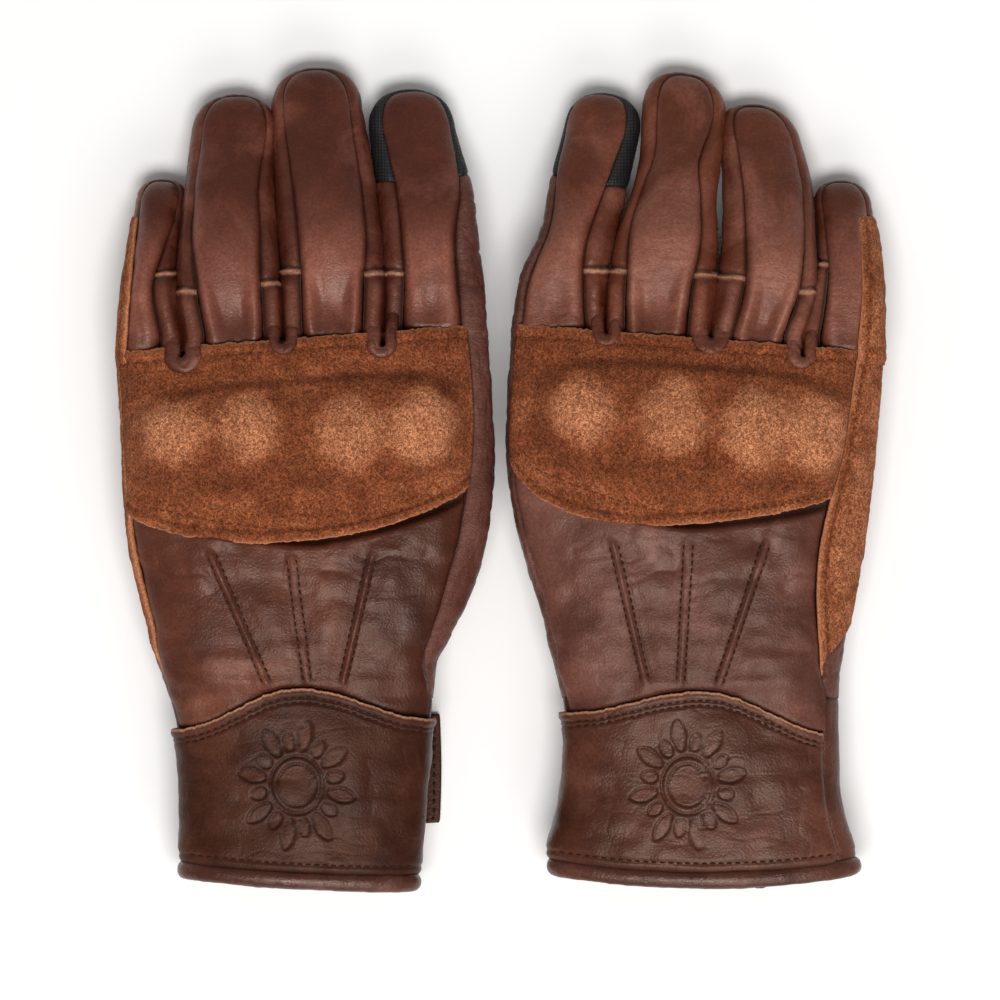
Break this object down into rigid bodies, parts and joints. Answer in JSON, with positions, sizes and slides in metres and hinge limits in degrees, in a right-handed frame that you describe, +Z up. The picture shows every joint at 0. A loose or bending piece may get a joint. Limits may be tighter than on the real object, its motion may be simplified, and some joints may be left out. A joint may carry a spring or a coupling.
{
  "type": "pair of riding gloves",
  "caption": "Pair of short leather riding gloves with suede knuckle covers, moulded knuckle inserts, wrist straps, flared cuffs and touch-screen fingertips, lying palm down.",
  "frame": {"origin": "middle of the pair's bounding box, on the table under the gloves", "axes": "+Z up, +Y towards the fingertips, +X from the left-hand glove to the right-hand glove"},
  "size_m": [0.2305, 0.2484, 0.0431],
  "materials": {
    "leather": "reddish-brown smooth grain leather with a soft sheen",
    "dark_leather": "dark brown smooth grain leather with a soft sheen",
    "suede": "orange-brown suede with a fuzzy nap and raw edges",
    "touch_fabric": "black conductive knit, matte",
    "lining": "brown brushed lining, matte",
    "armour": "black moulded insert, matte",
    "hook_and_loop": "black hook-and-loop tape, matte"
  },
  "bodies": {
    "left_hand": {"left_back_panel": "dark_leather", "left_crotch_index_middle": "leather", "left_crotch_middle_ring": "leather", "left_crotch_ring_little": "leather", "left_cuff_back": "dark_leather", "left_cuff_palm": "dark_leather", "left_cuff_piping": "dark_leather", "left_hand_lining": "lining", "left_knuckle_armour": "armour", "left_knuckle_cover": "suede", "left_loop_pad": "hook_and_loop", "left_palm_panel": "leather", "left_side_strip": "suede"},
    "left_strap": {"left_wrist_strap": "dark_leather", "left_hook_pad": "hook_and_loop"},
    "left_thumb": {"left_thumb_back": "leather", "left_thumb_front": "leather"},
    "left_index": {"left_index_back": "leather", "left_index_front": "leather", "left_index_side": "leather", "left_index_touch_tip": "touch_fabric"},
    "left_middle": {"left_middle_back": "leather", "left_middle_front": "leather", "left_middle_side": "leather"},
    "left_ring": {"left_ring_back": "leather", "left_ring_front": "leather", "left_ring_side": "leather"},
    "left_little": {"left_little_back": "leather", "left_little_front": "leather", "left_little_side": "leather"},
    "right_hand": {"right_back_panel": "dark_leather", "right_crotch_index_middle": "leather", "right_crotch_middle_ring": "leather", "right_crotch_ring_little": "leather", "right_cuff_back": "dark_leather", "right_cuff_palm": "dark_leather", "right_cuff_piping": "dark_leather", "right_hand_lining": "lining", "right_knuckle_armour": "armour", "right_knuckle_cover": "suede", "right_loop_pad": "hook_and_loop", "right_palm_panel": "leather", "right_side_strip": "suede"},
    "right_strap": {"right_wrist_strap": "dark_leather", "right_hook_pad": "hook_and_loop"},
    "right_thumb": {"right_thumb_back": "leather", "right_thumb_front": "leather"},
    "right_index": {"right_index_back": "leather", "right_index_front": "leather", "right_index_side": "leather", "right_index_touch_tip": "touch_fabric"},
    "right_middle": {"right_middle_back": "leather", "right_middle_front": "leather", "right_middle_side": "leather"},
    "right_ring": {"right_ring_back": "leather", "right_ring_front": "leather", "right_ring_side": "leather"},
    "right_little": {"right_little_back": "leather", "right_little_front": "leather", "right_little_side": "leather"}
  },
  "joints": [
    {"name": "left_index_flex", "type": "hinge", "parent": "left_hand", "child": "left_index", "pos_m": [-0.0193, 0.04444, 0.0115], "axis": [-0.9972, -0.0748, 0], "range_deg": [0, 75]},
    {"name": "left_middle_flex", "type": "hinge", "parent": "left_hand", "child": "left_middle", "pos_m": [-0.04965, 0.04216, 0.0115], "axis": [-0.9972, -0.0748, 0], "range_deg": [0, 75]},
    {"name": "left_ring_flex", "type": "hinge", "parent": "left_hand", "child": "left_ring", "pos_m": [-0.0794, 0.03993, 0.0115], "axis": [-0.9972, -0.0748, 0], "range_deg": [0, 75]},
    {"name": "left_little_flex", "type": "hinge", "parent": "left_hand", "child": "left_little", "pos_m": [-0.1048, 0.03803, 0.0115], "axis": [-0.9972, -0.0748, 0], "range_deg": [0, 75]},
    {"name": "left_thumb_swing", "type": "hinge", "parent": "left_hand", "child": "left_thumb", "pos_m": [-0.0225, -0.03, 0.0109], "axis": [0, 0, -1], "range_deg": [0, 60]},
    {"name": "left_strap_open", "type": "hinge", "parent": "left_hand", "child": "left_strap", "pos_m": [-0.0725, -0.0875, 0], "axis": [0, 1, 0], "range_deg": [0, 150]},
    {"name": "right_index_flex", "type": "hinge", "parent": "right_hand", "child": "right_index", "pos_m": [0.0179, 0.04455, 0.0115], "axis": [-0.9972, 0.0748, 0], "range_deg": [0, 75]},
    {"name": "right_middle_flex", "type": "hinge", "parent": "right_hand", "child": "right_middle", "pos_m": [0.0473, 0.04234, 0.0115], "axis": [-0.9972, 0.0748, 0], "range_deg": [0, 75]},
    {"name": "right_ring_flex", "type": "hinge", "parent": "right_hand", "child": "right_ring", "pos_m": [0.077, 0.04011, 0.0115], "axis": [-0.9972, 0.0748, 0], "range_deg": [0, 75]},
    {"name": "right_little_flex", "type": "hinge", "parent": "right_hand", "child": "right_little", "pos_m": [0.1034, 0.03813, 0.0115], "axis": [-0.9972, 0.0748, 0], "range_deg": [0, 75]},
    {"name": "right_thumb_swing", "type": "hinge", "parent": "right_hand", "child": "right_thumb", "pos_m": [0.0225, -0.03, 0.0109], "axis": [0, 0, 1], "range_deg": [0, 60]},
    {"name": "right_strap_open", "type": "hinge", "parent": "right_hand", "child": "right_strap", "pos_m": [0.0785, -0.0875, 0], "axis": [0, -1, 0], "range_deg": [0, 150]},
    {"name": "gloves_apart", "type": "slide", "parent": "left_hand", "child": "right_hand", "axis": [1, 0, 0], "range_m": [0, 0.15]}
  ]
}
